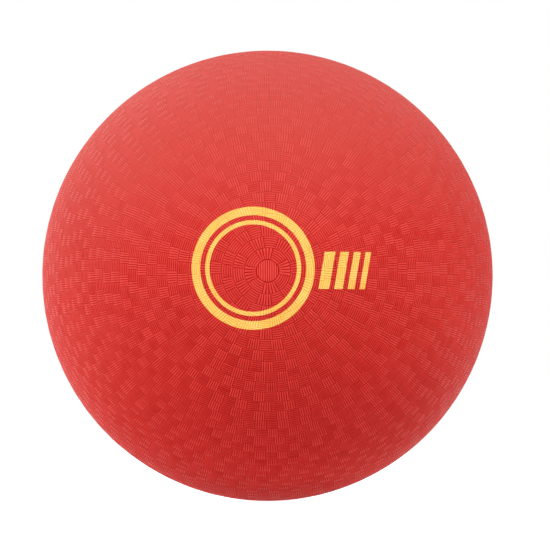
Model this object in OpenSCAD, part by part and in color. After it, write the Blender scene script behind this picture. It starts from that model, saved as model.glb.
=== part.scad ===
// Playground ball: two-ply moulded rubber, thread wound, with a needle valve.
// Millimetres, +Z up, origin at the centre of the ball. The printed pole is at
// -Y, the valve is at the +Y pole, and the mould's parting line lies in y = 0.

/* [Ball] */
// Diameter of the inflated ball over the moulded texture
ball_d = 330.2; // [300:1:360]

/* [Cover] */
// Thickness of the rubber cover, texture included
cover_t = 1.3; // [1:0.1:3]
// Height of the moulded texture, which the smooth land round the valve lacks
texture_h = 0.35; // [0.2:0.05:0.5]
// Diameter of the smooth land round the valve
land_d = 22; // [18:1:30]

/* [Carcass] */
// Thickness of the nylon thread winding with its rubber cement
winding_t = 0.4; // [0.3:0.05:0.8]
// Thickness of the butyl bladder
bladder_t = 0.8; // [0.6:0.1:1.5]
// Diameter of the reinforcing patch under the winding's opening
patch_d = 40; // [34:1:50]

/* [Valve] */
// Diameter of the housing's neck, which comes through to the surface
neck_d = 9; // [8:0.5:11]
// Diameter of the stem inside the bladder
stem_d = 12; // [11:0.5:14]
// Length of the housing from the ball's surface to the stem's inner end
stem_l = 18; // [17:0.5:24]
// Diameter of the flange bonded to the bladder
flange_d = 30; // [26:1:33]
// Thickness of that flange
flange_t = 1.2; // [1:0.1:2]
// Diameter of the self-sealing plug's shank
plug_d = 5.2; // [4.8:0.1:5.6]
// Diameter of the plug's retaining collar
collar_d = 7; // [6.4:0.1:7.4]
// Diameter of the guide hole that takes an inflating needle
needle_d = 2.2; // [2:0.05:2.4]
// Depth of the guide hole's straight wall
guide_l = 6; // [5:0.5:8]

/* [Printed mark] */
// Outer diameter of the printed double ring
ring_d = 86; // [70:1:90]
// Sideways place of the ring's centre
ring_x = -10; // [-14:1:-6]
// Upward place of the ring's centre
ring_z = 2;   // [0:0.5:10]
// Number of slanted bars beside the ring
bar_n = 4; // [2:1:5]
// Height of the bars
bar_h = 26; // [18:1:28]
// Width of the first and widest bar
bar_w = 7.5; // [6:0.5:9]
// Thickness of the ink, sunk flush in the cover
ink_t = 0.2; // [0.15:0.05:0.3]

/* [Hidden] */
$fn = 96;

R = ball_d / 2;                  // crest of the texture
R_land = R - texture_h;          // smooth land round the valve
R_cover = R - cover_t;           // inside of the cover, outside of the winding
R_wind = R_cover - winding_t;    // inside of the winding, outside of the bladder
R_blad = R_wind - bladder_t;     // inside of the bladder
R_flange = R_blad - flange_t;    // inside of the valve's flange

stem_y = R - stem_l;             // inner end of the stem
plug_y = stem_y + 2;             // inner end of the plug
mouth_y = R - 0.5;               // outer face of the plug, just under the neck's rim
funnel_h = 0.5;                  // lead-in of the guide hole
funnel_r = needle_d / 2 + 0.5;
guide_y = mouth_y - funnel_h - guide_l;   // blind end of the guide hole
collar_y = plug_y + 3;           // foot of the plug's collar
collar_h = 3;

ring_w = 6;                      // stroke of the outer ring
ring_gap = 3.5;                  // space between the two rings
ring_w2 = 3;                     // stroke of the inner ring
bar_z = 0.5;                     // height of the bars' middle
bar_taper = 0.8;                 // each bar's width over the width of the one before
bar_gap = 3.5;
bar_lean = 4.5;                  // how far a bar's head lies to the right of its foot

function bar_width(i) = bar_w * pow(bar_taper, i);
function bar_left(i) = i == 0 ? ring_x + ring_d / 2 + 2.5
                              : bar_left(i - 1) + bar_width(i - 1) + bar_gap;

red = [0.80, 0.10, 0.11];
gold = [0.95, 0.74, 0.26];

// Bodies turned about the valve's axis are drawn upright, then laid along +Y
module laid() {
    rotate([-90, 0, 0]) children();
}

// The space between two balls about the origin
module shell(ro, ri) {
    difference() {
        sphere(r = ro);
        sphere(r = ri);
    }
}

// A round bar on the upright axis from z0 to z1
module rod(r, z0, z1) {
    translate([0, 0, z0]) cylinder(r = r, h = z1 - z0);
}

// Everything on one side of the parting line, upright: s = -1 is the printed side
module half_space(s) {
    translate([-200, -200, s < 0 ? -200 : 0]) cube([400, 400, 200]);
}

module ring_outline(d, w) {
    difference() {
        circle(d = d);
        circle(d = d - 2 * w);
    }
}

// The generic mark, drawn flat: a closed double ring and, to its right, a row
// of slanted bars, each narrower than the last
module mark_outline() {
    translate([ring_x, ring_z]) {
        ring_outline(ring_d, ring_w);
        ring_outline(ring_d - 2 * (ring_w + ring_gap), ring_w2);
    }
    for (i = [0 : bar_n - 1])
        translate([bar_left(i), bar_z - bar_h / 2])
            polygon([[0, 0], [bar_width(i), 0],
                     [bar_width(i) + bar_lean, bar_h], [bar_lean, bar_h]]);
}

// The layer of ink, as deep as the pocket it lies in, upright with the print down
module ink() {
    intersection() {
        shell(R, R - ink_t);
        translate([0, 0, -200]) linear_extrude(height = 200)
            mirror([0, 1, 0]) mark_outline();
    }
}

// Printed half of the cover
module cover_front() {
    color(red) laid() difference() {
        intersection() {
            shell(R, R_cover);
            half_space(-1);
        }
        ink();
    }
}

// Valve half of the cover, with the smooth land and the neck's hole
module cover_back() {
    color(red) laid() difference() {
        intersection() {
            shell(R, R_cover);
            half_space(1);
        }
        rod(neck_d / 2, 100, 200);
        difference() {
            rod(land_d / 2, 100, 200);
            sphere(r = R_land);
        }
    }
}

module printed_mark() {
    color(gold) laid() ink();
}

// Thread winding: a thin shell, open where the valve patch sits
module nylon_winding() {
    color([0.93, 0.91, 0.85]) laid() difference() {
        shell(R_cover, R_wind);
        rod(patch_d / 2, 100, 200);
    }
}

// Airtight bladder with the hole for the valve's neck
module bladder() {
    color([0.12, 0.12, 0.13]) laid() difference() {
        shell(R_wind, R_blad);
        rod(neck_d / 2, 100, 200);
    }
}

// Round reinforcing patch that fills the winding's opening
module valve_patch() {
    color([0.72, 0.63, 0.47]) laid() difference() {
        intersection() {
            shell(R_cover, R_wind);
            rod(patch_d / 2, 100, 200);
        }
        rod(neck_d / 2, 100, 200);
    }
}

// Stepped space that the plug fills, and the passage to the air inside
module plug_space() {
    rod(plug_d / 2, plug_y, 200);
    rod(collar_d / 2, collar_y, collar_y + collar_h);
    rod(needle_d / 2, 100, plug_y + 1);
}

// Rubber valve body: neck to the surface, flange on the bladder, stem inside
module valve_housing() {
    color([0.16, 0.15, 0.15]) laid() difference() {
        union() {
            intersection() {
                sphere(r = R);
                rod(neck_d / 2, R_flange - 4, 200);
            }
            intersection() {
                shell(R_blad, R_flange);
                rod(flange_d / 2, 100, 200);
            }
            intersection() {
                sphere(r = R_flange + flange_t / 2);
                rod(stem_d / 2, stem_y, 200);
            }
        }
        plug_space();
    }
}

// Self-sealing plug with its collar and the blind guide hole for the needle
module valve_plug() {
    color([0.05, 0.05, 0.05]) laid() difference() {
        union() {
            rod(plug_d / 2, plug_y, mouth_y);
            rod(collar_d / 2, collar_y, collar_y + collar_h);
        }
        rod(needle_d / 2, guide_y, mouth_y + 1);
        translate([0, 0, mouth_y - funnel_h])
            cylinder(r1 = needle_d / 2, r2 = funnel_r, h = funnel_h);
    }
}

cover_front();
cover_back();
printed_mark();
nylon_winding();
bladder();
valve_patch();
valve_housing();
valve_plug();
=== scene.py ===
import math

import bpy
import numpy as np
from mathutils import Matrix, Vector


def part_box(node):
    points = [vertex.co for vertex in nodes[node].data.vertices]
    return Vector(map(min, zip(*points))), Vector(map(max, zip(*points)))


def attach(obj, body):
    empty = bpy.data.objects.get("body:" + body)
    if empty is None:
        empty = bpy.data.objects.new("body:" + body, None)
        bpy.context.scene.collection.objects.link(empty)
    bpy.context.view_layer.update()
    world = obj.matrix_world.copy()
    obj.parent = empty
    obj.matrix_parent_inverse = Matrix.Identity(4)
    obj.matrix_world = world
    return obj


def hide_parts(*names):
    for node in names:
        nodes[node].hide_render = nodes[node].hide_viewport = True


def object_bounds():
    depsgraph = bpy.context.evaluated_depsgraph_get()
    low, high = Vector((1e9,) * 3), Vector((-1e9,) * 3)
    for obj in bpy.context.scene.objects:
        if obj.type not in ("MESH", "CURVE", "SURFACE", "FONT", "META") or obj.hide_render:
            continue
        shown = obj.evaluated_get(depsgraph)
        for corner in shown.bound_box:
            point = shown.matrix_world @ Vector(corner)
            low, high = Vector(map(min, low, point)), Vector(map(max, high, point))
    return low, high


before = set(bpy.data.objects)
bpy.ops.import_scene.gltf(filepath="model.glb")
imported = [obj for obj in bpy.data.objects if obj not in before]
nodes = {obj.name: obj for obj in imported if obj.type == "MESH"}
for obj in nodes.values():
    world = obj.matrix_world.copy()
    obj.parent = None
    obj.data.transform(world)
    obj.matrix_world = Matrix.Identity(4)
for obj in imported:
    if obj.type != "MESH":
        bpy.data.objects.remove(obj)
cad_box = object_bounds()
scene = bpy.context.scene


# ---------------------------------------------------------------- the frame's sizes
def norms(node):
    """Distance of every vertex of a CAD node from the ball's centre."""
    me = nodes[node].data
    co = np.zeros(len(me.vertices) * 3, np.float32)
    me.vertices.foreach_get("co", co)
    return np.linalg.norm(co.reshape(-1, 3).astype(float), axis=1)


R_CAD = float(norms("cover_front").max())        # 165.1 mm, the crest of the texture
R_IN = float(norms("nylon_winding").max())       # inside of the cover
R_WIND = float(norms("bladder").max())           # inside of the winding
R_BLAD = float(norms("bladder").min())           # inside of the bladder
R = R_CAD - 0.00010                              # crests drawn just inside the CAD box
rng = np.random.default_rng(7)

MM = 0.001
RIB_H = 0.38 * MM        # height of a rib over the valley beside it
N_RINGS = 32             # rings of cells from pole to parting line
N_RIBS = 5               # ribs in a cell
PITCH = math.radians(90 / N_RINGS)

# the studio: azimuth to the right of the camera and elevation in degrees, watts
SOFTBOXES = [(30, 45, 30.0), (-60, 5, 20.6), (-150, 35, 13.0), (-120, 10, 10.8), (-150, 60, 5.0),
             (180, 65, 4.5), (150, 40, 5.5), (0, 50, 7.0), (-90, 10, 4.5), (-150, 10, 2.9), (80, 5, 7.0), (-30, 2, 4.5)]
FLOOR_PAINTED_GLOW = (1.0, 0.04)      # painted light from the floor: strong under the ball, faint away from it


# ---------------------------------------------------------------- mesh helpers
class Shape:
    """Vertices and faces, gathered and turned into one mesh."""

    def __init__(self):
        self.v, self.f = [], []

    def add(self, p):
        self.v.append(p)
        return len(self.v) - 1

    def many(self, points):
        n = len(self.v)
        self.v.extend(points)
        return list(range(n, n + len(points)))

    def face(self, *idx):
        self.f.append(idx)

    def make(self, name, mat, sharp=65):
        me = bpy.data.meshes.new(name)
        me.from_pydata([tuple(p) for p in self.v], [], [tuple(f) for f in self.f])
        me.validate()
        me.polygons.foreach_set("use_smooth", [True] * len(me.polygons))
        if sharp:
            me.set_sharp_from_angle(angle=math.radians(sharp))
        me.materials.append(mat)
        me.update()
        ob = bpy.data.objects.new(name, me)
        scene.collection.objects.link(ob)
        return ob


def ball_point(side, th, ph, r):
    """A point at polar angle th from a pole, azimuth ph, radius r. side -1 is the printed pole at -Y, +1 the valve's pole."""
    s = math.sin(th)
    return (-side * r * s * math.cos(ph), side * r * math.cos(th), r * s * math.sin(ph))


def bridge(sh, inner, a_in, outer, a_out):
    """Closes the strip between two closed loops of vertices round a pole, each with its rising azimuths, inner being nearer the pole."""
    n, m = len(inner), len(outer)
    i = j = 0
    ai = [x for x in a_in] + [a_in[0] + 2 * math.pi]
    # start the outer loop at the vertex nearest to the inner loop's first
    k0 = min(range(m), key=lambda k: abs((a_out[k] - a_in[0] + math.pi) % (2 * math.pi) - math.pi))
    base = a_in[0] + ((a_out[k0] - a_in[0] + math.pi) % (2 * math.pi) - math.pi)
    ao = [base + ((a_out[(k0 + k) % m] - a_out[k0]) % (2 * math.pi)) for k in range(m)] + [base + 2 * math.pi]
    while i < n or j < m:
        a, b = inner[i % n], outer[(k0 + j) % m]
        if j >= m or (i < n and ai[i + 1] <= ao[j + 1]):
            sh.face(a, b, inner[(i + 1) % n])
            i += 1
        else:
            sh.face(a, b, outer[(k0 + j + 1) % m])
            j += 1


def loop(sh, side, th, r, n, start=0.0):
    az = [start + 2 * math.pi * k / n for k in range(n)]
    return sh.many([ball_point(side, th, a, r) for a in az]), az


def ring_quads(sh, a, b, flip=False):
    """Quads between two loops of equally many vertices. Faces look outward when b is further from the pole and a is nearer."""
    n = len(a)
    for k in range(n):
        q = (a[k], b[k], b[(k + 1) % n], a[(k + 1) % n])
        sh.face(*(q[::-1] if flip else q))


def strip(sh, a, b):
    """Closes the strip between two open rows of vertices that run the same way, b being further from the pole."""
    if len(a) == len(b):
        for q in range(len(a) - 1):
            sh.face(a[q], b[q], b[q + 1], a[q + 1])
        return
    i = j = 0
    while i < len(a) - 1 or j < len(b) - 1:
        if j == len(b) - 1 or (i < len(a) - 1 and (i + 1) * (len(b) - 1) <= (j + 1) * (len(a) - 1)):
            sh.face(a[i], b[j], a[i + 1])
            i += 1
        else:
            sh.face(a[i], b[j], b[j + 1])
            j += 1


# ---------------------------------------------------------------- the moulded basket weave
LOCK = math.radians(91.8)    # azimuth where all the rings start, near the top


def cells_in(k):
    """Cells of the ring k: six more than in the ring before it, until their width sets the number."""
    return 2 * max(2, min(3 * k + 1, round(1.035 * math.pi * math.sin(PITCH * (k + 0.5)) / PITCH)))


def weave(sh, side, th_first, k_first, th_last):
    """Rings of square cells round a pole, each cell a bundle of ribs that run along the ring or across it by turns.
    Returns the first and last boundary loops with their azimuths."""
    edges = [th_first] + [PITCH * (k + 1) for k in range(k_first, N_RINGS)]
    edges[-1] = th_last
    rings = []
    for n, k in enumerate(range(k_first, N_RINGS)):
        t0, t1 = edges[n], edges[n + 1]
        spread = 0 if k < 4 else 1 if k < 9 else 2
        count = cells_in(k) + 2 * int(rng.integers(-spread, spread + 1))      # an uneven step, so that the cells don't line up
        rings.append((k, t0, t1, count, max(2, round(N_RIBS * (t1 - t0) / PITCH))))
    turns = rng.normal(0, 0.22, N_RINGS)      # each ring's own slip, in cells
    r_low = R - RIB_H
    # boundary loops, quantised to a tenth of a millimetre so that two rings share their vertices
    quant = [max(24, round(2 * math.pi * R * math.sin(t) / (0.1 * MM))) for t in edges]
    marks = [set() for _ in edges]

    def start(k, count):
        return LOCK / (2 * math.pi) + turns[k] / count

    def azimuth(k, j, u, count):
        return 2 * math.pi * (start(k, count) + (j - 0.5 + u) / count)

    def key(b, k, j, i, count):
        """Place of rib i of cell j on boundary b, in exact steps of that boundary."""
        top, under = (10 * j - 5 + 2 * i) * quant[b], 10 * count
        return ((2 * top + under) // (2 * under) + round(start(k, count) * quant[b])) % quant[b]

    for n, (k, t0, t1, count, rows) in enumerate(rings):
        for j in range(count):
            ticks = range(N_RIBS) if (k + j) % 2 else (0,)
            for b in (n, n + 1):
                for i in ticks:
                    marks[b].add(key(b, k, j, i, count))
    loops, at = [], []
    for b, t in enumerate(edges):
        keys = sorted(marks[b])
        az = [2 * math.pi * x / quant[b] for x in keys]
        idx = sh.many([ball_point(side, t, a, r_low) for a in az])
        loops.append((idx, az))
        at.append({x: i for i, x in enumerate(keys)})

    def along(b, k, j, i0, i1, count):
        """Vertices of boundary b from rib i0 to rib i1 of cell j, both ends in."""
        idx = loops[b][0]
        i0, i1 = at[b][key(b, k, j, i0, count)], at[b][key(b, k, j, i1, count)]
        if i1 <= i0:
            i1 += len(idx)
        return [idx[i % len(idx)] for i in range(i0, i1 + 1)]

    s, e = 0.24, 0.035
    for n, (k, t0, t1, count, rows) in enumerate(rings):
        d_th, d_ph = t1 - t0, 2 * math.pi / count
        height = rng.normal(0, 0.018 * MM, (count, 8))
        low_by = rng.uniform(0, 0.035 * MM, count) + np.where((k + np.arange(count)) % 2, 0.0, 0.050 * MM)   # a cell's own depth
        slip = rng.normal(0, 0.012, (count, 8, 2))
        ends = rng.uniform(-0.012, 0.012, (count, 8, 2))
        lines = []
        for j in range(count):
            a = azimuth(k, j, 0, count)
            mid = sh.many([ball_point(side, t0 + d_th * i / rows, a, r_low) for i in range(1, rows)])
            lines.append([loops[n][0][at[n][key(n, k, j, 0, count)]], *mid,
                          loops[n + 1][0][at[n + 1][key(n + 1, k, j, 0, count)]]])
        for j in range(count):
            left, right = lines[j], lines[(j + 1) % count]
            a0 = azimuth(k, j, 0, count)

            def top(u, v, h):
                return sh.add(ball_point(side, t0 + d_th * v, a0 + d_ph * u, R - h))

            across = (k + j) % 2
            parts = 1 if across else max(1, math.ceil(d_ph / math.radians(8)))     # a wide cell's ribs are curved
            valleys = [along(n, k, j, 0, N_RIBS, count)]
            for i in range(1, rows):
                valleys.append([left[i]] + ([] if across else sh.many([ball_point(side, t0 + d_th * i / rows, a0 + d_ph * q / parts, r_low) for q in range(1, parts)])) + [right[i]])
            valleys.append(along(n + 1, k, j, 0, N_RIBS, count))
            for i in range(N_RIBS if across else rows):
                m = N_RIBS if across else rows
                h = abs(height[j, i]) + low_by[j]
                w0, w1 = (i + s + slip[j, i, 0]) / m, (i + 1 - s + slip[j, i, 1]) / m
                l0, l1 = e + ends[j, i, 0], 1 - e + ends[j, i, 1]
                if across:      # ribs run from ring to ring
                    low, high = along(n, k, j, i, i + 1, count), along(n + 1, k, j, i, i + 1, count)
                    T00, T01, T11, T10 = top(w0, l0, h), top(w0, l1, h), top(w1, l1, h), top(w1, l0, h)
                    sh.face(T00, T01, T11, T10)
                    sh.face(*((left if i == 0 else [low[0], high[0]]) + [T01, T00]))
                    sh.face(*([T10, T11] + (right if i == m - 1 else [low[-1], high[-1]])[::-1]))
                    sh.face(*([low[0], T00, T10] + low[:0:-1]))
                    sh.face(*([T01] + high + [T11]))
                else:           # ribs run round the ring
                    near = [top(l0 + (l1 - l0) * q / parts, w0, h) for q in range(parts + 1)]
                    far = [top(l0 + (l1 - l0) * q / parts, w1, h) for q in range(parts + 1)]
                    sh.face(left[i], left[i + 1], far[0], near[0])
                    sh.face(near[-1], far[-1], right[i + 1], right[i])
                    strip(sh, valleys[i], near)
                    strip(sh, near, far)
                    strip(sh, far, valleys[i + 1])
    return loops[0], loops[-1]


def inner_wall(sh, side, outer, th_end, n=96):
    """The cover's cut edge in the parting plane and its smooth inside, down to polar angle th_end or closed at the pole."""
    idx, az = outer
    rim, a_rim = loop(sh, side, math.pi / 2, R_IN, n)
    bridge_flipped(sh, rim, a_rim, idx, az)
    last, steps = rim, 30
    for s in range(1, steps + 1):
        th = math.pi / 2 + (th_end - math.pi / 2) * s / steps
        if th <= 1e-6:
            pole = sh.add(ball_point(side, 0, 0, R_IN))
            for k in range(n):
                sh.face(last[k], pole, last[(k + 1) % n])
            return None
        here, _ = loop(sh, side, th, R_IN, n)
        ring_quads(sh, here, last, flip=True)
        last = here
    return last


def bridge_flipped(sh, inner, a_in, outer, a_out):
    start = len(sh.f)
    bridge(sh, inner, a_in, outer, a_out)
    for i in range(start, len(sh.f)):
        sh.f[i] = tuple(reversed(sh.f[i]))


def parting(sh, side, last):
    """Half of the thin moulding bead on the parting line."""
    idx, az = last
    n = 384
    r = R - RIB_H
    foot, a = loop(sh, side, math.radians(90 - 0.20), r, n)
    bridge(sh, idx, az, foot, a)
    mid, _ = loop(sh, side, math.radians(90 - 0.13), R - 0.10 * MM, n)
    ring_quads(sh, foot, mid)
    top, _ = loop(sh, side, math.radians(90 - 0.05), R - 0.02 * MM, n)
    ring_quads(sh, mid, top)
    edge, a = loop(sh, side, math.radians(90), R, n)
    ring_quads(sh, top, edge)
    return edge, a


def planar_uv(ob, side):
    """One clean map: the outside as a disc seen from the pole, with equal areas, and the inside as a small disc in a corner."""
    me = ob.data
    co = np.zeros(len(me.vertices) * 3, np.float32)
    me.vertices.foreach_get("co", co)
    co = co.reshape(-1, 3).astype(float)
    r = np.linalg.norm(co, axis=1)
    th = np.arccos(np.clip(side * co[:, 1] / r, -1, 1))
    ph = np.arctan2(co[:, 2], -side * co[:, 0])
    f = np.sin(th / 2) * math.sqrt(2)
    loops = np.zeros(len(me.loops), np.int32)
    me.loops.foreach_get("vertex_index", loops)
    normals = np.zeros(len(me.polygons) * 3, np.float32)
    me.polygons.foreach_get("normal", normals)
    centres = np.zeros(len(me.polygons) * 3, np.float32)
    me.polygons.foreach_get("center", centres)
    inward = (normals.reshape(-1, 3) * centres.reshape(-1, 3)).sum(1) < 0
    totals = np.zeros(len(me.polygons), np.int32)
    me.polygons.foreach_get("loop_total", totals)
    inside = np.repeat(inward, totals)
    k = np.where(inside, 0.095, 0.445)
    cu = np.where(inside, 0.895, 0.455)
    cv = np.where(inside, 0.895, 0.455)
    uv = np.zeros((len(loops), 2), np.float32)
    uv[:, 0] = cu + k * f[loops] * np.cos(ph[loops])
    uv[:, 1] = cv + k * f[loops] * np.sin(ph[loops])
    layer = me.uv_layers.new(name="OFBake")
    layer.data.foreach_set("uv", uv.ravel())


# ---------------------------------------------------------------- materials
def material(name):
    m = bpy.data.materials.new(name)
    m.use_nodes = True
    nt = m.node_tree
    nt.nodes.clear()
    out = nt.nodes.new("ShaderNodeOutputMaterial")
    p = nt.nodes.new("ShaderNodeBsdfPrincipled")
    nt.links.new(p.outputs["BSDF"], out.inputs["Surface"])
    return m, nt, p


def coords(nt):
    return nt.nodes.new("ShaderNodeTexCoord").outputs["Object"]


def noise(nt, scale, detail=3.0, rough=0.5, vec=None):
    n = nt.nodes.new("ShaderNodeTexNoise")
    n.inputs["Scale"].default_value = scale
    n.inputs["Detail"].default_value = detail
    n.inputs["Roughness"].default_value = rough
    nt.links.new(vec if vec is not None else coords(nt), n.inputs["Vector"])
    return n.outputs["Fac"]


def remap(nt, value, a, b, c, d):
    n = nt.nodes.new("ShaderNodeMapRange")
    n.inputs["From Min"].default_value = a
    n.inputs["From Max"].default_value = b
    n.inputs["To Min"].default_value = c
    n.inputs["To Max"].default_value = d
    nt.links.new(value, n.inputs["Value"])
    return n.outputs["Result"]


def mix(nt, fac, a, b):
    n = nt.nodes.new("ShaderNodeMix")
    n.data_type = "RGBA"
    if isinstance(fac, float):
        n.inputs["Factor"].default_value = fac
    else:
        nt.links.new(fac, n.inputs["Factor"])
    for socket, c in (("A", a), ("B", b)):
        target = [s for s in n.inputs if s.name == socket and s.type == "RGBA"][0]
        if isinstance(c, tuple):
            target.default_value = (*c, 1)
        else:
            nt.links.new(c, target)
    return [s for s in n.outputs if s.type == "RGBA"][0]


def math_node(nt, op, a, b=None):
    n = nt.nodes.new("ShaderNodeMath")
    n.operation = op
    for i, x in enumerate((a, b)):
        if x is None:
            continue
        if isinstance(x, (int, float)):
            n.inputs[i].default_value = x
        else:
            nt.links.new(x, n.inputs[i])
    return n.outputs[0]


def radius_of(nt):
    """Distance from the ball's centre, which tells a rib's crest from the valley beside it."""
    n = nt.nodes.new("ShaderNodeVectorMath")
    n.operation = "LENGTH"
    nt.links.new(coords(nt), n.inputs[0])
    return n.outputs["Value"]


def along_axis(nt, axis):
    """How far a point lies along an axis through the ball's centre."""
    n = nt.nodes.new("ShaderNodeVectorMath")
    n.operation = "DOT_PRODUCT"
    nt.links.new(coords(nt), n.inputs[0])
    n.inputs[1].default_value = axis
    return n.outputs["Value"]


def bump(nt, p, height, strength, distance):
    n = nt.nodes.new("ShaderNodeBump")
    n.inputs["Strength"].default_value = strength
    n.inputs["Distance"].default_value = distance
    nt.links.new(height, n.inputs["Height"])
    nt.links.new(n.outputs["Normal"], p.inputs["Normal"])


def add(nt, a, b):
    return math_node(nt, "ADD", a, b)


def mul(nt, a, b):
    return math_node(nt, "MULTIPLY", a, b)


def cover_rubber():
    """Red rubber: a purer, deeper red in the valleys (painted shade), paler on the ribs (painted highlight), with a
    paler, pinker top (painted sheen) and a deeper tone on the lower front (painted shade), all fixed to the ball."""
    m, nt, p = material("red_moulded_rubber")
    # crest mask: the deeper red in the valleys is painted shade, the paler red on the crests is painted highlight
    crest = remap(nt, radius_of(nt), R - RIB_H * 0.80, R - RIB_H * 0.05, 0.0, 1.0)
    broad = noise(nt, 9.0, 2.0)
    fine = noise(nt, 900.0, 3.0, 0.6)
    # the top is painted paler and pinker, its weave washed out and its gloss turned down: painted sheen
    up = add(nt, along_axis(nt, (-0.17, 0.20, 0.96)), mul(nt, add(nt, broad, -0.5), 0.05))
    bloom_and_sheen = mul(nt, remap(nt, up, -0.010, 0.125, 0.0, 1.0), remap(nt, along_axis(nt, (0.0, 1.0, 0.0)), 0.0, 0.10, 1.0, 0.55))
    # under: the lower front is painted a deeper red, with its gloss turned down: painted shade
    under = remap(nt, along_axis(nt, (-0.03, 0.68, 0.73)), -0.165, -0.085, 1.0, 0.0)
    base = mix(nt, crest, mix(nt, under, VALLEY_SHADE_RED, VALLEY_SHADE_RED_LOW_FRONT), mix(nt, under, CREST_HIGHLIGHT_RED, CREST_HIGHLIGHT_RED_LOW_FRONT))
    base = mix(nt, mul(nt, bloom_and_sheen, 0.92), base, mix(nt, crest, PINK_SHEEN_VALLEY, PINK_SHEEN_AND_SPECKS))
    base = mix(nt, remap(nt, fine, 0.55, 0.75, 0.0, 0.08), base, PINK_SHEEN_AND_SPECKS)
    nt.links.new(base, p.inputs["Base Color"])
    rough = remap(nt, add(nt, mul(nt, noise(nt, 60.0, 4.0), 0.6), mul(nt, fine, 0.4)), 0.3, 0.7, 0.46, 0.60)
    nt.links.new(rough, p.inputs["Roughness"])
    gloss = mul(nt, remap(nt, crest, 0.0, 1.0, GLOSS[0], GLOSS[1]), remap(nt, bloom_and_sheen, 0.0, 1.0, 1.0, 0.2))
    gloss = mul(nt, gloss, remap(nt, under, 0.0, 1.0, 1.0, 0.4))
    nt.links.new(gloss, p.inputs["Specular IOR Level"])
    bump(nt, p, noise(nt, 2600.0, 3.0, 0.6), 0.25, 0.00004)
    return m


def ink_paint():
    """Yellow ink, thin and stained by the red where it runs down into the valleys."""
    m, nt, p = material("yellow_ink")
    crest = remap(nt, radius_of(nt), R - RIB_H * 0.95, R, 0.0, 1.0)
    thin = noise(nt, 700.0, 3.0, 0.6)
    body = mix(nt, remap(nt, noise(nt, 70.0, 3.0), 0.35, 0.65, 0.0, 1.0), (0.53, 0.295, 0.048), (0.58, 0.34, 0.075))
    worn = mul(nt, math_node(nt, "SUBTRACT", 1.0, crest), remap(nt, thin, 0.35, 0.65, 0.55, 1.0))
    nt.links.new(mix(nt, worn, body, (0.36, 0.14, 0.014)), p.inputs["Base Color"])
    nt.links.new(remap(nt, thin, 0.3, 0.7, 0.50, 0.66), p.inputs["Roughness"])
    p.inputs["Specular IOR Level"].default_value = 0.25
    bump(nt, p, noise(nt, 3200.0, 2.0), 0.2, 0.00003)
    return m


def black_rubber(name, tone, low, high):
    """Moulded black rubber: a slightly mottled bloom, a fine grain."""
    m, nt, p = material(name)
    fine = noise(nt, 1500.0, 4.0, 0.6)
    bloom_and_sheen = remap(nt, noise(nt, 180.0, 3.0), 0.4, 0.7, 0.0, 0.5)
    dark = (tone, tone * 0.97, tone * 0.94)
    nt.links.new(mix(nt, bloom_and_sheen, dark, (tone * 1.9, tone * 1.85, tone * 1.8)), p.inputs["Base Color"])
    nt.links.new(remap(nt, fine, 0.3, 0.7, low, high), p.inputs["Roughness"])
    p.inputs["Specular IOR Level"].default_value = 0.4
    bump(nt, p, fine, 0.3, 0.00005)
    return m


def butyl_lining():
    """Calendered butyl sheet, dusted with talc in soft clouds."""
    m, nt, p = material("butyl_lining")
    cloud = noise(nt, 22.0, 5.0, 0.6)
    speck = noise(nt, 800.0, 3.0, 0.6)
    base = mix(nt, remap(nt, cloud, 0.42, 0.72, 0.0, 0.45), (0.018, 0.018, 0.020), (0.13, 0.13, 0.13))
    nt.links.new(mix(nt, remap(nt, speck, 0.6, 0.8, 0.0, 0.4), base, (0.25, 0.25, 0.24)), p.inputs["Base Color"])
    nt.links.new(remap(nt, cloud, 0.3, 0.7, 0.42, 0.75), p.inputs["Roughness"])
    bump(nt, p, add(nt, mul(nt, cloud, 0.5), speck), 0.3, 0.00006)
    return m


def canvas_patch():
    """Cotton canvas in a plain weave, its yarns 0.6 mm apart, soaked with rubber cement in patches."""
    m, nt, p = material("canvas_patch")
    sep = nt.nodes.new("ShaderNodeSeparateXYZ")
    nt.links.new(coords(nt), sep.inputs[0])
    k = 2 * math.pi / 0.0012
    warp = math_node(nt, "SINE", mul(nt, sep.outputs["X"], k))
    weft = math_node(nt, "SINE", mul(nt, sep.outputs["Z"], k))
    cross = mul(nt, warp, weft)
    yarn = add(nt, mul(nt, math_node(nt, "ABSOLUTE", warp), 0.5), mul(nt, math_node(nt, "ABSOLUTE", weft), 0.5))
    shade = remap(nt, add(nt, cross, yarn), -1.0, 2.0, 0.0, 1.0)
    # paler on the yarns' tops, darker in the gaps between them: painted shade
    base = mix(nt, shade, (0.24, 0.17, 0.09), (0.62, 0.50, 0.33))
    base = mix(nt, remap(nt, noise(nt, 120.0, 4.0), 0.45, 0.75, 0.0, 0.6), base, (0.30, 0.20, 0.10))
    nt.links.new(base, p.inputs["Base Color"])
    p.inputs["Roughness"].default_value = 0.85
    p.inputs["Specular IOR Level"].default_value = 0.2
    bump(nt, p, shade, 0.6, 0.00012)
    return m


def thread_and_cement():
    """Off-white nylon thread over a skin of dried amber cement."""
    m, nt, p = material("thread_and_cement")
    proud = remap(nt, radius_of(nt), R_WIND + 0.16 * MM, R_WIND + 0.24 * MM, 0.0, 1.0)
    fibre = noise(nt, 1800.0, 3.0, 0.7)
    thread = mix(nt, fibre, (0.52, 0.49, 0.41), (0.74, 0.71, 0.63))
    cement = mix(nt, noise(nt, 40.0, 5.0, 0.6), (0.36, 0.25, 0.12), (0.56, 0.43, 0.25))
    nt.links.new(mix(nt, proud, cement, thread), p.inputs["Base Color"])
    nt.links.new(remap(nt, proud, 0.0, 1.0, 0.35, 0.6), p.inputs["Roughness"])
    bump(nt, p, fibre, 0.3, 0.00004)
    return m


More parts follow.
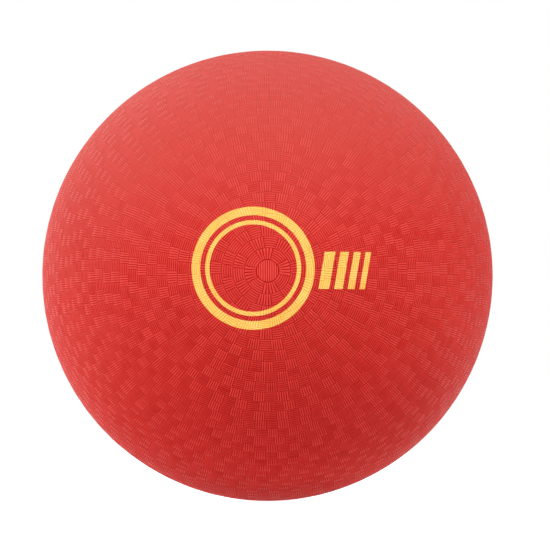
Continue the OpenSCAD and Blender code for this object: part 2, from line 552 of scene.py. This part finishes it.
VALLEY_SHADE_RED = (0.220, 0.0003, 0.0003)     # rubber in the valleys, painted deeper: painted shade
VALLEY_SHADE_RED_LOW_FRONT = (0.168, 0.0002, 0.0002) # the valleys' red, painted deeper still on the lower front: painted shade
CREST_HIGHLIGHT_RED = (0.408, 0.0345, 0.0265)     # rubber on the crests, painted paler: painted highlight
# the crests' red, painted deeper on the lower front: painted shade
CREST_HIGHLIGHT_RED_LOW_FRONT = (0.362, 0.0232, 0.0187)
PINK_SHEEN_AND_SPECKS = (0.350, 0.0530, 0.0445)    # pale pink: painted sheen on the top, and random specks all over
# the pale pink in the valleys of the top: painted sheen
PINK_SHEEN_VALLEY = (0.326, 0.0450, 0.0375)
GLOSS = (0.006, 0.060)
RUBBER = cover_rubber()
INK = ink_paint()
THREAD = thread_and_cement()

# ---------------------------------------------------------------- cover


def pole_cell(sh, radius):
    """The round cell at the printed pole: straight ribs side by side. Returns its rim with the azimuths."""
    n, m = 10, 8
    p = 2 * radius / n

    def row(x, inset, r):
        """Points on one upright line of the cell, from its lower end to its upper end."""
        z = math.sqrt(max(0.0, radius * radius - x * x)) - inset
        if z < 1e-6:
            return [sh.add((x, -math.sqrt(r * r - x * x), 0.0))]
        return sh.many([(x, -math.sqrt(r * r - x * x - (z * t) ** 2), z * t) for t in (2 * q / m - 1 for q in range(m + 1))])

    low = R - RIB_H
    lines = [row(-radius + p * i, 0.0, low) for i in range(n + 1)]
    for i in range(n):
        h = R - abs(rng.normal(0, 0.018 * MM))
        x0, x1 = -radius + p * (i + 0.24 + 0.2 * (i == 0)), -radius + p * (i + 0.76 - 0.2 * (i == n - 1))
        left, right = row(x0, 0.3 * MM, h), row(x1, 0.3 * MM, h)
        strip(sh, lines[i], left)
        strip(sh, left, right)
        strip(sh, right, lines[i + 1])
        sh.face(lines[i][0], lines[i + 1][0], right[0], left[0])
        sh.face(lines[i + 1][-1], lines[i][-1], left[-1], right[-1])
    rim = lines[n][:1] + [lines[i][-1] for i in range(n - 1, 0, -1)] + lines[0][:1] + [lines[i][0] for i in range(1, n)]
    az = []
    for v in rim:
        x, _, z = sh.v[v]
        az.append(math.atan2(z, x) % (2 * math.pi))
    return rim, az


sh = Shape()
first, last = weave(sh, -1, PITCH, 1, math.radians(90 - 0.26))
cap, a_cap = pole_cell(sh, R * math.sin(PITCH) - 0.35 * MM)
bridge(sh, cap, a_cap, first[0], first[1])
edge = parting(sh, -1, last)
inner_wall(sh, -1, edge, 0.0)
front = sh.make("cover_front_moulded", RUBBER)
planar_uv(front, -1)
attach(front, "root")
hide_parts("cover_front")
print("front", len(sh.v), "vertices", len(sh.f), "faces")

sh = Shape()
TH_LAND = math.asin(0.011 / R_CAD)
first, last = weave(sh, 1, TH_LAND, 1, math.radians(90 - 0.26))
r_land = R_CAD - 0.35 * MM
n = 96
land, a_land = loop(sh, 1, TH_LAND * 0.985, r_land, n)
bridge(sh, land, a_land, first[0], first[1])
neck = 4.5 * MM
profile = [(10.0, 0.0), (8.6, 0.0), (8.2, 0.10), (7.7, 0.20), (7.0, 0.20), (6.5, 0.10), (6.1, 0.0), (5.0, 0.0), (4.62, -0.06), (4.52, -0.25)]
prev = land
for rad, up in profile:
    th = math.asin(rad * MM / (r_land + up * MM))
    here, _ = loop(sh, 1, th, r_land + up * MM, n)
    ring_quads(sh, here, prev)
    prev = here
edge = parting(sh, 1, last)
inner_end = inner_wall(sh, 1, edge, math.asin(4.52 * MM / R_IN), n=96)
ring_quads(sh, inner_end, prev)
back = sh.make("cover_back_moulded", RUBBER)
planar_uv(back, 1)
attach(back, "root")
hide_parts("cover_back")
print("back", len(sh.v), "vertices", len(sh.f), "faces")

# ---------------------------------------------------------------- printed mark
MARK_LO, MARK_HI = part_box("printed_mark")
RING_R = (MARK_HI.z - MARK_LO.z) / 2                 # outer radius of the double ring
RING_X, RING_Z = MARK_LO.x + RING_R, (MARK_HI.z + MARK_LO.z) / 2
RINGS = [(RING_R, RING_R - 6 * MM), (RING_R - 9.5 * MM, RING_R - 12.5 * MM)]
BAR_Z, BAR_H, BAR_LEAN = 0.5 * MM, 26 * MM, 4.5 * MM
BARS, at_x = [], RING_X + RING_R + 2.5 * MM
for bar in range(4):
    width = 7.5 * MM * 0.8 ** bar
    BARS.append((at_x, width))
    at_x += width + 3.5 * MM


def wavy(x, z):
    """Small unevenness of a printed edge, a few hundredths of a millimetre."""
    return (0.05 * math.sin(x * 1900 + 3 * math.sin(z * 1300)) + 0.05 * math.sin(z * 2300 + 2 * math.sin(x * 900))) * MM


def outside_of(r):
    return lambda x, z: r - math.hypot(x - RING_X, z - RING_Z) + wavy(x, z)


def inside_of(r):
    return lambda x, z: math.hypot(x - RING_X, z - RING_Z) - r + wavy(x, z)


def half_plane(ax, az, bx, bz):
    """Negative to the left of the line from a to b."""
    length = math.hypot(bx - ax, bz - az)
    return lambda x, z: ((x - ax) * (bz - az) - (z - az) * (bx - ax)) / length + wavy(x, z)


def ink_film():
    """The ribs under the mark, cut to its outline with every cut point shared by the faces that meet there, as a thin film that follows them."""
    src = front.data
    pts = [tuple(v.co) for v in src.vertices]
    faces = []
    pad = 0.003
    for poly in src.polygons:
        c = poly.center
        if c.y < -0.12 and MARK_LO.x - pad < c.x < MARK_HI.x + pad and MARK_LO.z - pad < c.z < MARK_HI.z + pad and poly.normal.dot(c) > 0:
            faces.append(tuple(poly.vertices))
    cuts = {}

    def cut(a, b, da, db, name):
        key = (min(a, b), max(a, b), name)
        if key not in cuts:
            if a > b:
                a, b, da, db = b, a, db, da
            t = da / (da - db)
            if t < 0.03:
                cuts[key] = a
            elif t > 0.97:
                cuts[key] = b
            else:
                p, q = pts[a], pts[b]
                pts.append(tuple(p[i] + (q[i] - p[i]) * t for i in range(3)))
                cuts[key] = len(pts) - 1
        return cuts[key]

    def part(face, d, name, sign):
        """The part of a face where sign * d is negative."""
        vals = [d(pts[i][0], pts[i][2]) for i in face]
        out = []
        for n, i in enumerate(face):
            j = face[(n + 1) % len(face)]
            u, v = vals[n], vals[(n + 1) % len(face)]
            if sign * u < 0:
                out.append(i)
            if (u < 0) != (v < 0):
                out.append(cut(i, j, u, v, name))
        clean = [i for n, i in enumerate(out) if i != out[n - 1]]
        return tuple(clean) if len(set(clean)) > 2 else None

    # a fine grid first, so that a curved edge is cut in short steps
    step = 2.2 * MM
    for axis in (0, 2):
        done = []
        lines = {}
        for face in faces:
            todo = [face]
            vals = [pts[i][axis] for i in face]
            for n in range(math.floor(min(vals) / step) + 1, math.floor(max(vals) / step) + 1):
                if n not in lines:
                    lines[n] = (lambda x, z, n=n: x - n * step) if axis == 0 else (lambda x, z, n=n: z - n * step)
                name = ("grid", axis, n)
                todo = [q for f in todo for s in (1, -1) for q in [part(f, lines[n], name, s) if any(lines[n](pts[i][0], pts[i][2]) < 0 for i in f) and any(lines[n](pts[i][0], pts[i][2]) >= 0 for i in f) else (f if s == 1 else None)] if q]
            done.extend(todo)
        faces = done

    shapes = [[(inside_of(ro), "ro%d" % i), (outside_of(ri), "ri%d" % i)] for i, (ro, ri) in enumerate(RINGS)]
    for i, (x0, w) in enumerate(BARS):
        corners = [(x0, BAR_Z - BAR_H / 2), (x0 + w, BAR_Z - BAR_H / 2), (x0 + w + BAR_LEAN, BAR_Z + BAR_H / 2), (x0 + BAR_LEAN, BAR_Z + BAR_H / 2)]
        shapes.append([(half_plane(*corners[k], *corners[(k + 1) % 4]), "b%d_%d" % (i, k)) for k in range(4)])
    kept = []
    for shape in shapes:
        for face in faces:
            q = face
            for d, name in shape:
                vals = [d(pts[i][0], pts[i][2]) for i in q]
                if max(vals) < 0:
                    continue
                q = part(q, d, name, 1) if min(vals) < 0 else None
                if q is None:
                    break
            if q:
                kept.append(q)

    used = sorted({i for f in kept for i in f})
    number = {v: i for i, v in enumerate(used)}
    co = np.array([pts[i] for i in used])
    r = np.linalg.norm(co, axis=1, keepdims=True)
    unit = co / r
    up, down = unit * np.minimum(r + 0.040 * MM, R_CAD - 0.00002), unit * (r - 0.05 * MM)
    n = len(used)
    top = [tuple(number[i] for i in f) for f in kept]
    edges = {(a, b) for f in top for a, b in zip(f, f[1:] + f[:1])}
    rim = [(a, b) for a, b in edges if (b, a) not in edges]
    me = bpy.data.meshes.new("printed_mark_film")
    me.from_pydata([tuple(p) for p in np.vstack([up, down])], [], top + [tuple(i + n for i in reversed(f)) for f in top] + [(b, a, a + n, b + n) for a, b in rim])
    me.validate()
    me.polygons.foreach_set("use_smooth", [True] * len(me.polygons))
    me.set_sharp_from_angle(angle=math.radians(55))
    me.materials.append(INK)
    me.update()
    # map: the face of the film in the lower half, its underside and rim in the upper half
    layer = me.uv_layers.new(name="OFBake")
    w, h = MARK_HI.x - MARK_LO.x, MARK_HI.z - MARK_LO.z
    uv = []
    for poly in me.polygons:
        lift = 0.02 if poly.index < len(top) else 0.52
        for i in poly.vertices:
            v = me.vertices[i].co
            uv += [0.02 + 0.96 * (v.x - MARK_LO.x) / w, lift + 0.46 * (v.z - MARK_LO.z) / h]
    layer.data.foreach_set("uv", uv)
    ob = bpy.data.objects.new("printed_mark_film", me)
    scene.collection.objects.link(ob)
    return ob


film = ink_film()
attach(film, "root")
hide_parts("printed_mark")
print("film", len(film.data.vertices), len(film.data.polygons))


# ---------------------------------------------------------------- inside: winding, bladder, patch, valve
def winding():
    """A skin of cement with the valve's opening, and loops of thread that run round it on great circles, clear of both poles."""
    sh = Shape()
    uv = []
    r_out, r_in = R_WIND + 0.15 * MM, R_WIND + 0.045 * MM
    n, steps = 160, 80
    th0 = math.asin((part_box("valve_patch")[1].x + 0.02 * MM) / R_IN)
    for r, flip in ((r_out, False), (r_in, True)):
        rows = [loop(sh, 1, th0 + (math.pi - th0 - 0.03) * k / steps, r, n)[0] for k in range(steps + 1)]
        for a, b in zip(rows, rows[1:]):
            ring_quads(sh, a, b, flip)
        pole = sh.add(ball_point(1, math.pi, 0, r))
        for k in range(n):
            sh.face(*((rows[-1][k], pole, rows[-1][(k + 1) % n])[::-1 if flip else 1]))
        if flip:
            ring_quads(sh, first, rows[0], True)
        first = rows[0]
    skin_faces = len(sh.f)
    gen = np.random.default_rng(21)
    made, seg = 0, 120
    strips = []
    while made < 110:
        axis = gen.normal(size=3)
        axis /= np.linalg.norm(axis)
        if abs(axis[1]) < math.sin(th0) + 0.02:
            continue
        u = np.cross(axis, (0.31, 0.87, 0.38))
        u /= np.linalg.norm(u)
        v = np.cross(axis, u)
        rad = 0.5 * (0.28 + 0.06 * gen.random()) * MM
        r_mid = R_IN - 0.01 * MM - rad - 0.02 * MM * gen.random()
        rings = []
        for k in range(seg):
            a = 2 * math.pi * k / seg
            out = math.cos(a) * u + math.sin(a) * v
            c = out * r_mid
            rings.append(sh.many([tuple(c + rad * (math.cos(b) * out + math.sin(b) * axis)) for b in (math.radians(45), math.radians(135), math.radians(225), math.radians(315))]))
        for k in range(seg):
            a, b = rings[k], rings[(k + 1) % seg]
            for q in range(4):
                sh.face(a[q], b[q], b[(q + 1) % 4], a[(q + 1) % 4])
                strips.append((made, k, q))
        made += 1
    ob = sh.make("thread_winding", THREAD, sharp=0)
    me = ob.data
    layer = me.uv_layers.new(name="OFBake")
    for poly in me.polygons:
        if poly.index < skin_faces:
            outer = poly.normal.dot(poly.center) > 0
            for i in poly.vertices:
                p = me.vertices[i].co
                th = math.acos(max(-1, min(1, p.y / p.length)))
                ph = math.atan2(p.z, p.x)
                f = math.sin(th / 2)
                uv += [(0.23 if outer else 0.73) + 0.21 * f * math.cos(ph), 0.25 + 0.21 * f * math.sin(ph)]
        else:
            m_, k, q = strips[poly.index - skin_faces]
            y0 = 0.52 + 0.47 * (m_ + q / 4) / made
            dy = 0.47 / made / 4
            x0, x1 = 0.01 + 0.98 * k / seg, 0.01 + 0.98 * (k + 1) / seg
            uv += [x0, y0, x1, y0, x1, y0 + dy * 0.9, x0, y0 + dy * 0.9]
    layer.data.foreach_set("uv", uv)
    print("winding", len(me.vertices), len(me.polygons))
    return ob


wound = winding()
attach(wound, "root")
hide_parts("nylon_winding")

nodes["bladder"].data.materials[0] = butyl_lining()
nodes["valve_patch"].data.materials[0] = canvas_patch()


def lathe(name, mat, profile, n=96):
    """A body turned about the valve's axis from a closed outline of (radius, height along +Y) in millimetres. A radius of 0 closes it on the axis."""
    sh = Shape()
    rows = []
    for r, y in profile:
        if r == 0:
            rows.append([sh.add((0, y * MM, 0))])
        else:
            rows.append(sh.many([(r * MM * math.cos(2 * math.pi * k / n), y * MM, -r * MM * math.sin(2 * math.pi * k / n)) for k in range(n)]))
    pairs = list(zip(rows, rows[1:]))
    if profile[0][0] and profile[-1][0]:
        pairs.append((rows[-1], rows[0]))
    for a, b in pairs:
        for k in range(n):
            j = (k + 1) % n
            if len(a) == 1:
                sh.face(a[0], b[j], b[k])
            elif len(b) == 1:
                sh.face(a[k], a[j], b[0])
            else:
                sh.face(a[k], a[j], b[j], b[k])
    return sh.make(name, mat, sharp=40)


def arc(cx, cy, r, a0, a1, n=5):
    """Points of a rounded corner, degrees from a0 to a1."""
    return [(cx + r * math.cos(math.radians(a0 + (a1 - a0) * k / n)), cy + r * math.sin(math.radians(a0 + (a1 - a0) * k / n))) for k in range(n + 1)]


def on_ball(rad, r):
    return (r, math.sqrt(rad * rad - r * r))


B_OUT, F_IN = R_BLAD / MM, R_BLAD / MM - 1.2       # the flange lies between these two radii
STEM_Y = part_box("valve_housing")[0].y / MM
NECK_Y = R_CAD / MM
housing = (
    [(1.1, STEM_Y)] + arc(5.2, STEM_Y + 0.8, 0.8, -90, 0) + [(6.0, F_IN - 1.0)]
    + [(6.15, F_IN - 0.5), (6.6, F_IN - 0.22)]
    + [on_ball(F_IN, r) for r in (7.5, 9.0, 11.0, 13.0, 14.3)]
    + [(14.8, F_IN - 0.35), (14.97, F_IN - 0.10), (14.97, B_OUT - 0.86)]
    + [on_ball(B_OUT - 0.01, r) for r in (14.6, 12.0, 9.0, 6.0, 4.5)]
    + [(4.49, NECK_Y - 0.75)] + arc(4.09, NECK_Y - 0.55, 0.40, 0, 90) + [(3.4, NECK_Y - 0.12)]
    + [(3.0, NECK_Y - 0.16), (2.75, NECK_Y - 0.30), (2.61, NECK_Y - 0.60)]
    + [(2.61, STEM_Y + 8.02), (3.51, STEM_Y + 8.02), (3.51, STEM_Y + 4.98), (2.61, STEM_Y + 4.98), (2.61, STEM_Y + 1.98), (1.1, STEM_Y + 1.98)]
)
valve = lathe("valve_body", black_rubber("valve_black_rubber", 0.018, 0.50, 0.68), housing)
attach(valve, "root")
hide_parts("valve_housing")

P0, P1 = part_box("valve_plug")[0].y / MM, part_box("valve_plug")[1].y / MM
plug_outline = (
    [(0, P0)] + arc(2.3, P0 + 0.3, 0.3, -90, 0) + [(2.6, P0 + 3.0)]
    + arc(3.2, P0 + 3.3, 0.3, -90, 0) + arc(3.2, P0 + 5.7, 0.3, 0, 90) + [(2.6, P0 + 6.0)]
    + [(2.6, P1 - 0.5)] + arc(2.2, P1 - 0.4, 0.4, 0, 90) + [(1.9, P1 - 0.02)]
    + [(1.72, P1 - 0.06), (1.5, P1 - 0.20), (1.2, P1 - 0.42), (1.1, P1 - 0.55), (1.1, P1 - 6.2)] + arc(0.8, P1 - 6.2, 0.3, 0, -90, 3) + [(0, P1 - 6.5)]
)
plug = lathe("valve_plug_turned", black_rubber("plug_black_rubber", 0.009, 0.40, 0.56), plug_outline)
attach(plug, "root")
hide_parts("valve_plug")

# ---------------------------------------------------------------- stage
floor_me = bpy.data.meshes.new("floor")
S = 60.0
z = cad_box[0].z
floor_me.from_pydata([(-S, -S, z), (S, -S, z), (S, S, z), (-S, S, z)], [], [(0, 1, 2, 3)])
m, nt, p = material("floor")
p.inputs["Base Color"].default_value = (0.97, 0.97, 0.97, 1)
p.inputs["Roughness"].default_value = 0.9
p.inputs["Specular IOR Level"].default_value = 0.0
p.inputs["Emission Color"].default_value = (1, 1, 1, 1)
# the floor glows: painted light, faint everywhere and strong right under the ball, where it lights the ball's underside
# and fills its shadow
nt.links.new(remap(nt, radius_of(nt), 0.170, 0.235, FLOOR_PAINTED_GLOW[0], FLOOR_PAINTED_GLOW[1]), p.inputs["Emission Strength"])
floor_me.materials.append(m)
floor = bpy.data.objects.new("floor", floor_me)
scene.collection.objects.link(floor)

world = bpy.data.worlds.new("studio")
world.use_nodes = True
world.node_tree.nodes["Background"].inputs["Color"].default_value = (1, 1, 1, 1)
world.node_tree.nodes["Background"].inputs["Strength"].default_value = 1.0
scene.world = world


def softbox(az, el, power, size=1.0, away=2.0):
    """A square soft box that looks at the ball from azimuth az, to the right of the camera, and elevation el, in degrees."""
    a, e = math.radians(az), math.radians(el)
    d = Vector((math.sin(a) * math.cos(e), -math.cos(a) * math.cos(e), math.sin(e)))
    light = bpy.data.lights.new("softbox", "AREA")
    light.shape = "SQUARE"
    light.size = size
    light.energy = power
    ob = bpy.data.objects.new("softbox", light)
    ob.location = d * away
    ob.rotation_euler = (-d).to_track_quat("-Z", "Y").to_euler()
    ob.visible_camera = False
    scene.collection.objects.link(ob)
    return ob


for az, el, power in SOFTBOXES:
    softbox(az, el, power)

D = 3.3
cam = bpy.data.cameras.new("camera")
cam.sensor_width = 36
alpha = math.asin(R / D)
cam.lens = 225.3 / 275 * 18 / math.tan(alpha)
cam.shift_x = 7.5 / 550
cam.shift_y = 0.8 / 550
cam.clip_end = 200
camera = bpy.data.objects.new("camera", cam)
TILT = math.radians(-1.2)
camera.location = (0, -D * math.cos(TILT), D * math.sin(TILT))
camera.rotation_euler = (Vector((0, 0, 0)) - camera.location).to_track_quat("-Z", "Y").to_euler()
scene.collection.objects.link(camera)
scene.camera = camera
scene.view_settings.view_transform = "Standard"
